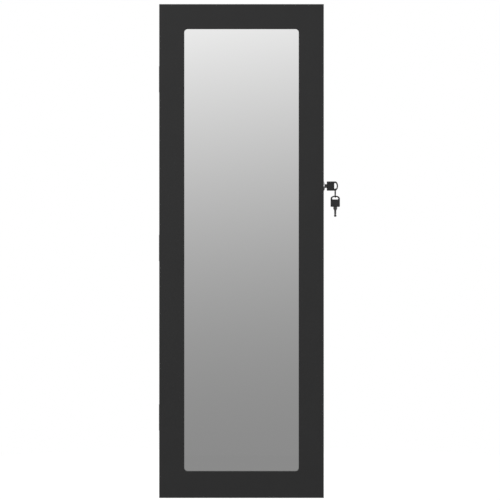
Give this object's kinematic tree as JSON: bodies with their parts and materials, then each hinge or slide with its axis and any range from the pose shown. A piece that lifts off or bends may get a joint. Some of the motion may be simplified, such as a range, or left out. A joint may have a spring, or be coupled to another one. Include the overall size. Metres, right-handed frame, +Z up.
{
  "type": "jewelry mirror cabinet",
  "caption": "Shallow wall-hung jewelry cabinet with a full-height mirror door, side cam lock, key and spare key, hooks, shelves, ring cushion and earring bars.",
  "frame": {"origin": "centre of the back panel's rear face, on the wall", "axes": "+X to the right of someone who looks into the mirror, +Y into the wall, +Z up"},
  "size_m": [0.3344, 0.085, 0.9],
  "materials": {
    "black_lacquer": "satin black lacquer on fibreboard",
    "back_board": "black faced thin fibreboard",
    "backing_board": "brown hardboard",
    "dowel_beech": "plain beech",
    "flocked_board": "board with black velvet flock",
    "flock_lining": "black velvet flock",
    "cushion_velvet": "black velvet over foam",
    "mirror_glass": "silvered float glass",
    "hinge_black_steel": "black plated steel",
    "zinc_steel": "zinc plated steel",
    "chrome": "polished chrome",
    "key_plastic": "moulded black plastic",
    "key_nickel": "nickel plated steel",
    "bumper_rubber": "soft black rubber"
  },
  "bodies": {
    "case": {"case_side_left": "black_lacquer", "case_side_right": "black_lacquer", "case_top": "black_lacquer", "case_bottom": "black_lacquer", "case_dowels": "dowel_beech", "back_panel": "back_board", "back_lining": "flock_lining", "hanging_rail": "flocked_board", "keyhole_plate_left": "zinc_steel", "keyhole_plate_right": "zinc_steel", "keyhole_screws": "zinc_steel", "hook_rail": "flocked_board", "hook_rail_screws": "zinc_steel", "necklace_hooks": "chrome", "shelf_upper": "flocked_board", "shelf_middle": "flocked_board", "shelf_lower": "flocked_board", "shelf_pins": "zinc_steel", "guard_rail_upper": "chrome", "guard_rail_middle": "chrome", "guard_rail_lower": "chrome", "ring_tray": "flocked_board", "ring_cushion": "cushion_velvet", "bracelet_bar": "chrome", "bracelet_bar_sockets": "chrome", "bumper_pads": "bumper_rubber", "hinge_top_case_leaf": "hinge_black_steel", "hinge_middle_case_leaf": "hinge_black_steel", "hinge_bottom_case_leaf": "hinge_black_steel", "hinge_pins": "hinge_black_steel", "hinge_screws_case": "hinge_black_steel", "lock_housing": "chrome", "lock_nut": "zinc_steel"},
    "door": {"door_frame": "black_lacquer", "door_edge_left": "black_lacquer", "door_edge_right": "black_lacquer", "door_edge_top": "black_lacquer", "door_edge_bottom": "black_lacquer", "mirror": "mirror_glass", "mirror_backing": "backing_board", "door_lining": "flock_lining", "hinge_top_door_leaf": "hinge_black_steel", "hinge_middle_door_leaf": "hinge_black_steel", "hinge_bottom_door_leaf": "hinge_black_steel", "hinge_screws_door": "hinge_black_steel", "lock_keeper": "zinc_steel", "keeper_screws": "zinc_steel", "earring_bar_top": "flocked_board", "earring_bar_middle": "flocked_board", "earring_bar_bottom": "flocked_board", "earring_bar_screws": "zinc_steel"},
    "lock_core": {"lock_plug": "chrome", "lock_cam": "zinc_steel", "cam_screw": "zinc_steel"},
    "key": {"key_head": "key_plastic", "key_blade": "key_nickel"},
    "key_ring": {"key_ring": "chrome"},
    "spare_key": {"spare_key_head": "key_plastic", "spare_key_blade": "key_nickel"}
  },
  "joints": [
    {"name": "door_swing", "type": "hinge", "parent": "case", "child": "door", "pos_m": [-0.15025, -0.06, 0], "axis": [0, 0, -1], "range_deg": [0, 175]},
    {"name": "lock_turn", "type": "hinge", "parent": "case", "child": "lock_core", "pos_m": [0.15, -0.045, 0.1205], "axis": [-1, 0, 0], "range_deg": [0, 90]},
    {"name": "key_pull", "type": "slide", "parent": "lock_core", "child": "key", "axis": [1, 0, 0], "range_m": [0, 0.03]},
    {"name": "ring_swing", "type": "hinge", "parent": "key", "child": "key_ring", "pos_m": [0.1736, -0.045, 0.11335], "axis": [1, 0, 0], "range_deg": [-100, 100]},
    {"name": "spare_swing", "type": "hinge", "parent": "key_ring", "child": "spare_key", "pos_m": [0.1736, -0.045, 0.09915], "axis": [0, 1, 0], "range_deg": [-30, 30]}
  ]
}
